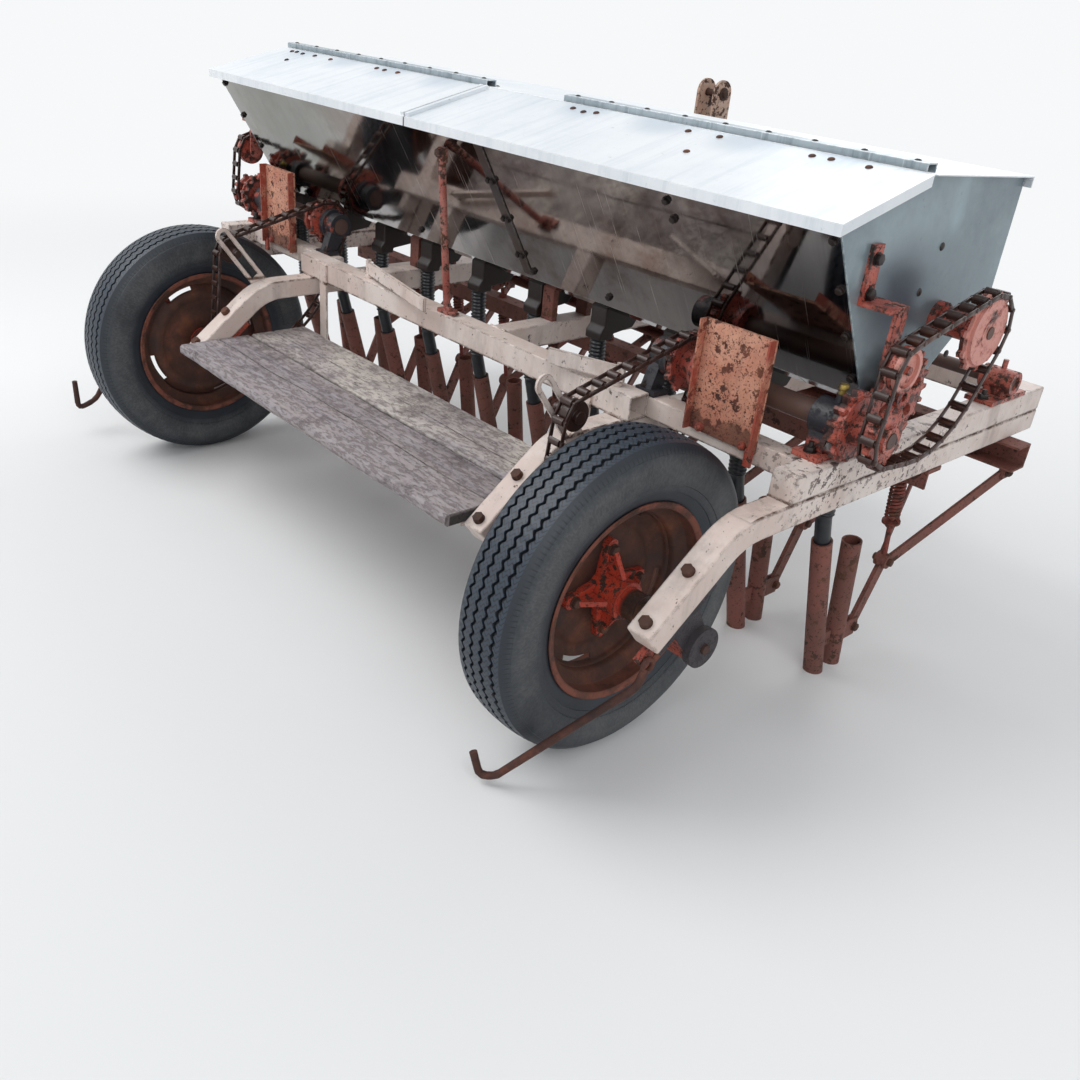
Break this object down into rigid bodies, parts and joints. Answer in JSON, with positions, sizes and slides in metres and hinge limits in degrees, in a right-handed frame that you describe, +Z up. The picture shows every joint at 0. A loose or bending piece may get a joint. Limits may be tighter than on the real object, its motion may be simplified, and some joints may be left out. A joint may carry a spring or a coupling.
{
  "type": "seed drill",
  "caption": "Mounted seed drill: two tyred wheels on bent arms, long sheet hopper with two lids, chain drives, foot board, two ranks of openers.",
  "frame": {"origin": "on the ground under the middle of the machine's box", "axes": "+Y towards the tractor, +X to the machine's right, +Z up"},
  "size_m": [2.384, 1.5929, 1.1569],
  "materials": {
    "cream_paint": "matt cream paint, chipped",
    "orange_paint": "flaking orange-red paint on castings",
    "rusty_steel": "brown rust",
    "dark_iron": "oily dark iron",
    "galvanised": "weathered galvanised sheet",
    "lid_sheet": "pale galvanised sheet",
    "plank": "weathered grey plank",
    "tyre": "worn rubber",
    "hose": "black corrugated tube"
  },
  "bodies": {
    "root": {"rear_beam": "cream_paint", "side_rail_l": "cream_paint", "side_rail_r": "cream_paint", "side_arm_l": "cream_paint", "side_arm_r": "cream_paint", "inner_arm_l": "cream_paint", "inner_arm_r": "cream_paint", "cross_members": "cream_paint", "mid_rails": "cream_paint", "front_beam": "cream_paint", "toolbar": "cream_paint", "pressure_bar": "rusty_steel", "hitch_tower": "cream_paint", "lower_hitch": "rusty_steel", "hopper_rear_wall": "galvanised", "hopper_front_wall": "galvanised", "hopper_ends": "galvanised", "hopper_floor": "galvanised", "top_deck": "lid_sheet", "hinge_strips": "galvanised", "seam_strap": "galvanised", "hopper_legs": "rusty_steel", "stay_rod": "orange_paint", "feed_cups": "dark_iron", "feed_shaft": "rusty_steel", "top_shaft": "rusty_steel", "seed_tubes": "hose", "boots": "rusty_steel", "drag_bars": "rusty_steel", "press_springs": "rusty_steel", "shields": "orange_paint", "foot_board": "plank", "board_hangers": "cream_paint", "cross_shafts": "rusty_steel", "shaft_bearings": "orange_paint", "clutch_units": "orange_paint", "clutch_levers": "cream_paint", "idler_levers": "cream_paint", "chain_idlers": "dark_iron", "axle_sprockets": "dark_iron", "wheel_chains": "rusty_steel", "end_sprockets": "orange_paint", "end_chains": "rusty_steel", "end_brackets": "orange_paint", "lift_shaft": "rusty_steel", "pillow_blocks": "orange_paint", "axle_bearings": "dark_iron", "hook_rods": "rusty_steel"},
    "wheel_l": {"tyre_l": "tyre", "wheel_rim_l": "rusty_steel", "hub_l": "orange_paint"},
    "wheel_r": {"tyre_r": "tyre", "wheel_rim_r": "rusty_steel", "hub_r": "orange_paint"},
    "cover_l": {"lid_l": "lid_sheet"},
    "cover_r": {"lid_r": "lid_sheet"}
  },
  "joints": [
    {"name": "wheel_l_spin", "type": "hinge", "parent": "root", "child": "wheel_l", "pos_m": [-0.877, -0.4655, 0.331], "axis": [1, 0, 0], "continuous": true},
    {"name": "wheel_r_spin", "type": "hinge", "parent": "root", "child": "wheel_r", "pos_m": [0.877, -0.4655, 0.331], "axis": [1, 0, 0], "continuous": true},
    {"name": "cover_l_hinge", "type": "hinge", "parent": "root", "child": "cover_l", "pos_m": [-0.6, -0.0265, 1.118], "axis": [-1, 0, 0], "range_deg": [0, 110]},
    {"name": "cover_r_hinge", "type": "hinge", "parent": "root", "child": "cover_r", "pos_m": [0.5, -0.0265, 1.118], "axis": [-1, 0, 0], "range_deg": [0, 110]}
  ]
}
